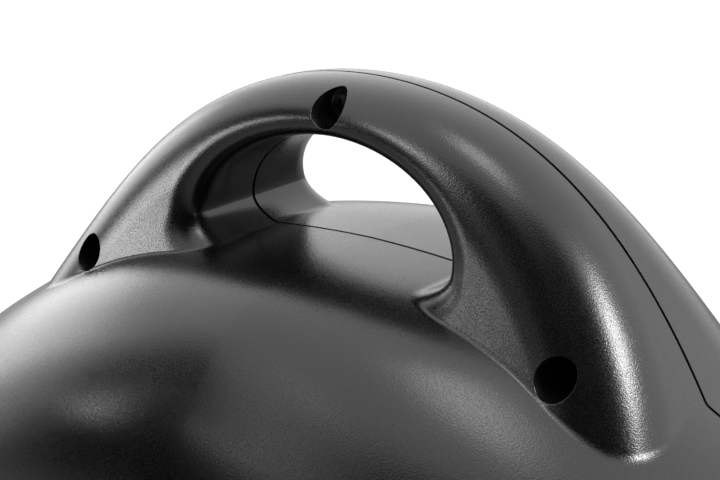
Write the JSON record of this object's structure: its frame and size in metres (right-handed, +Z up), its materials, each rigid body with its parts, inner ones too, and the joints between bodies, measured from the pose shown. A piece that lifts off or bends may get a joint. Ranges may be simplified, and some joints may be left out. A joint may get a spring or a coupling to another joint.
{
  "type": "car dryer blower",
  "caption": "Car drying blower: twin in-line fan motors in a smooth split-shell pod with a moulded carrying handle, hose outlet, rear controls and swivel casters.",
  "frame": {"origin": "on the floor under the middle of the pod", "axes": "+X towards the hose outlet, +Y towards the left shell, +Z up"},
  "size_m": [0.46, 0.232, 0.3303],
  "materials": {
    "shell_plastic": "black, fine spark-eroded grain, semi-gloss",
    "trim_plastic": "dark grey, fine grain",
    "black_rubber": "matte",
    "foam": "open foam",
    "red_plastic": "glossy",
    "black_plastic": "glossy",
    "zinc_steel": "zinc plated",
    "black_steel": "black oxide",
    "blade_alloy": "satin",
    "frame_alloy": "as cast",
    "lamination": "varnished laminations",
    "copper": "enamelled copper wire",
    "board_green": "lacquered board",
    "wheel_rubber": "matte grey rubber on a plastic hub"
  },
  "bodies": {
    "pod": {"right_shell": "shell_plastic", "left_shell": "shell_plastic", "shell_screws": "black_steel", "base_pan": "trim_plastic", "pan_screws": "zinc_steel", "outlet_collar": "trim_plastic", "outlet_seal": "black_rubber", "rear_panel": "trim_plastic", "panel_screws": "zinc_steel", "intake_grille": "trim_plastic", "foam_filter": "foam", "switch_housing": "black_plastic", "speed_control": "zinc_steel", "breaker": "black_plastic", "cord_gland": "black_plastic", "control_board": "board_green", "board_parts": "black_plastic", "wiring": "black_rubber", "rear_bulkhead": "trim_plastic", "front_bulkhead": "trim_plastic", "rear_motor_ring": "black_rubber", "front_motor_ring": "black_rubber", "caster_plates": "zinc_steel", "caster_rivets": "zinc_steel", "rear_fan_housing": "zinc_steel", "rear_motor_frame": "frame_alloy", "rear_stator": "lamination", "rear_coils": "copper", "rear_bearings": "zinc_steel", "rear_brushes": "copper", "front_fan_housing": "zinc_steel", "front_motor_frame": "frame_alloy", "front_stator": "lamination", "front_coils": "copper", "front_bearings": "zinc_steel", "front_brushes": "copper"},
    "rear_rotor": {"rear_fan": "blade_alloy", "rear_armature": "lamination", "rear_shaft": "zinc_steel"},
    "front_rotor": {"front_fan": "blade_alloy", "front_armature": "lamination", "front_shaft": "zinc_steel"},
    "power_rocker": {"power_rocker": "red_plastic"},
    "speed_knob": {"speed_knob": "black_plastic"},
    "reset_button": {"reset_button": "red_plastic"},
    "front_right_caster": {"front_right_fork": "zinc_steel", "front_right_axle": "zinc_steel"},
    "front_right_wheel": {"front_right_wheel": "wheel_rubber"},
    "front_left_caster": {"front_left_fork": "zinc_steel", "front_left_axle": "zinc_steel"},
    "front_left_wheel": {"front_left_wheel": "wheel_rubber"},
    "rear_right_caster": {"rear_right_fork": "zinc_steel", "rear_right_axle": "zinc_steel"},
    "rear_right_wheel": {"rear_right_wheel": "wheel_rubber"},
    "rear_left_caster": {"rear_left_fork": "zinc_steel", "rear_left_axle": "zinc_steel"},
    "rear_left_wheel": {"rear_left_wheel": "wheel_rubber"}
  },
  "joints": [
    {"name": "rear_rotor_spin", "type": "hinge", "parent": "pod", "child": "rear_rotor", "pos_m": [-0.15, 0, 0.138], "axis": [1, 0, 0], "continuous": true},
    {"name": "front_rotor_spin", "type": "hinge", "parent": "pod", "child": "front_rotor", "pos_m": [0.01, 0, 0.138], "axis": [1, 0, 0], "continuous": true},
    {"name": "rocker_tip", "type": "hinge", "parent": "pod", "child": "power_rocker", "pos_m": [-0.1937, 0.045, 0.146], "axis": [0, 1, 0], "range_deg": [0, 20]},
    {"name": "knob_turn", "type": "hinge", "parent": "pod", "child": "speed_knob", "pos_m": [-0.2055, -0.045, 0.151], "axis": [1, 0, 0], "range_deg": [0, 270]},
    {"name": "reset_press", "type": "slide", "parent": "pod", "child": "reset_button", "axis": [1, 0, 0], "range_m": [0, 0.002], "stiffness_N_per_m": 600, "springref_m": -0.001},
    {"name": "front_right_swivel", "type": "hinge", "parent": "pod", "child": "front_right_caster", "pos_m": [0.125, -0.068, 0.058], "axis": [0, 0, 1], "continuous": true},
    {"name": "front_right_roll", "type": "hinge", "parent": "front_right_caster", "child": "front_right_wheel", "pos_m": [0.107, -0.068, 0.025], "axis": [0, 1, 0], "continuous": true},
    {"name": "front_left_swivel", "type": "hinge", "parent": "pod", "child": "front_left_caster", "pos_m": [0.125, 0.068, 0.058], "axis": [0, 0, 1], "continuous": true},
    {"name": "front_left_roll", "type": "hinge", "parent": "front_left_caster", "child": "front_left_wheel", "pos_m": [0.107, 0.068, 0.025], "axis": [0, 1, 0], "continuous": true},
    {"name": "rear_right_swivel", "type": "hinge", "parent": "pod", "child": "rear_right_caster", "pos_m": [-0.125, -0.068, 0.058], "axis": [0, 0, 1], "continuous": true},
    {"name": "rear_right_roll", "type": "hinge", "parent": "rear_right_caster", "child": "rear_right_wheel", "pos_m": [-0.143, -0.068, 0.025], "axis": [0, 1, 0], "continuous": true},
    {"name": "rear_left_swivel", "type": "hinge", "parent": "pod", "child": "rear_left_caster", "pos_m": [-0.125, 0.068, 0.058], "axis": [0, 0, 1], "continuous": true},
    {"name": "rear_left_roll", "type": "hinge", "parent": "rear_left_caster", "child": "rear_left_wheel", "pos_m": [-0.143, 0.068, 0.025], "axis": [0, 1, 0], "continuous": true}
  ]
}
